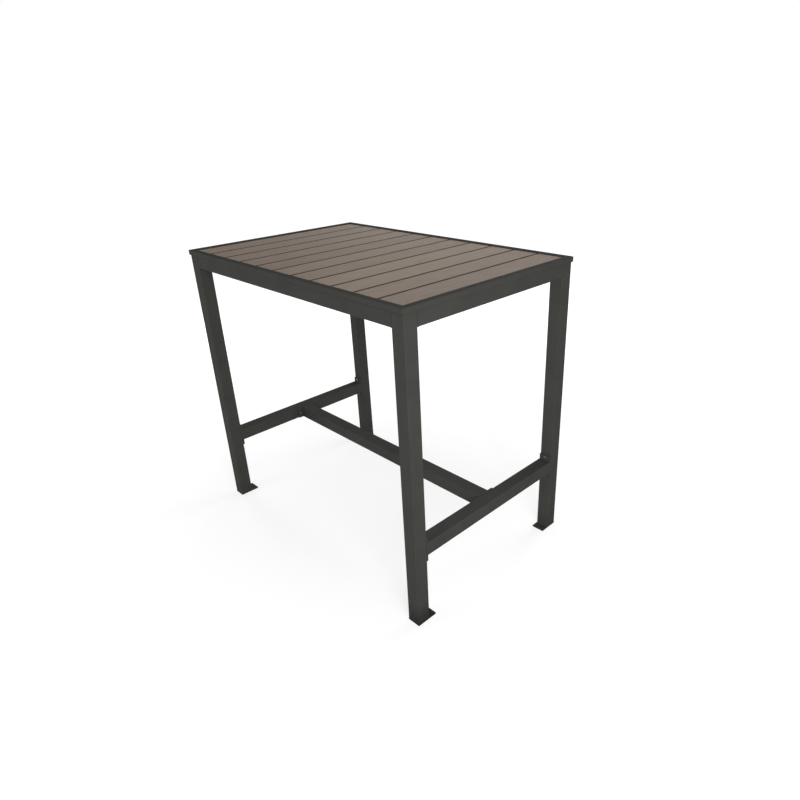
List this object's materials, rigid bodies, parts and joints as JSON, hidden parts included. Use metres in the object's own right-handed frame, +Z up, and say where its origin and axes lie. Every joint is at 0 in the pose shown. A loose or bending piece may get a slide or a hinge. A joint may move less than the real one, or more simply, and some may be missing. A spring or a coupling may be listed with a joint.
{
  "type": "bar table",
  "caption": "Rectangular bar-height outdoor table: slatted top in a mitred rim on square legs, bolted aprons and an H of stretchers, with bolt-down foot plates.",
  "frame": {"origin": "on the floor under the middle of the table top", "axes": "+X along the table's long side, +Y across it from the front to the back, +Z up"},
  "size_m": [1.216, 0.788, 1.1],
  "materials": {
    "frame": "fine-textured matt powder coat, charcoal",
    "slats": "brushed wood-effect polymer, weathered grey-brown",
    "bolts": "stainless steel, coated charcoal like the frame",
    "hardware": "plain stainless steel"
  },
  "bodies": {
    "root": {"apron_back": "frame", "apron_back_plate_left": "frame", "apron_back_plate_right": "frame", "apron_bolts": "bolts", "apron_front": "frame", "apron_front_plate_left": "frame", "apron_front_plate_right": "frame", "apron_inserts": "hardware", "apron_left": "frame", "apron_left_plate_back": "frame", "apron_left_plate_front": "frame", "apron_right": "frame", "apron_right_plate_back": "frame", "apron_right_plate_front": "frame", "foot_plate_back_left": "frame", "foot_plate_back_right": "frame", "foot_plate_front_left": "frame", "foot_plate_front_right": "frame", "leg_back_left": "frame", "leg_back_right": "frame", "leg_front_left": "frame", "leg_front_right": "frame", "rim_back": "frame", "rim_front": "frame", "rim_left": "frame", "rim_right": "frame", "slat_01": "slats", "slat_02": "slats", "slat_03": "slats", "slat_04": "slats", "slat_05": "slats", "slat_06": "slats", "slat_07": "slats", "slat_08": "slats", "slat_09": "slats", "slat_10": "slats", "slat_11": "slats", "slat_screws": "hardware", "stretcher_bolts": "bolts", "stretcher_centre": "frame", "stretcher_centre_plate_left": "frame", "stretcher_centre_plate_right": "frame", "stretcher_inserts": "hardware", "stretcher_left": "frame", "stretcher_plate_back_left": "frame", "stretcher_plate_back_right": "frame", "stretcher_plate_front_left": "frame", "stretcher_plate_front_right": "frame", "stretcher_right": "frame", "support_rail_back": "frame", "support_rail_front": "frame"}
  },
  "joints": []
}
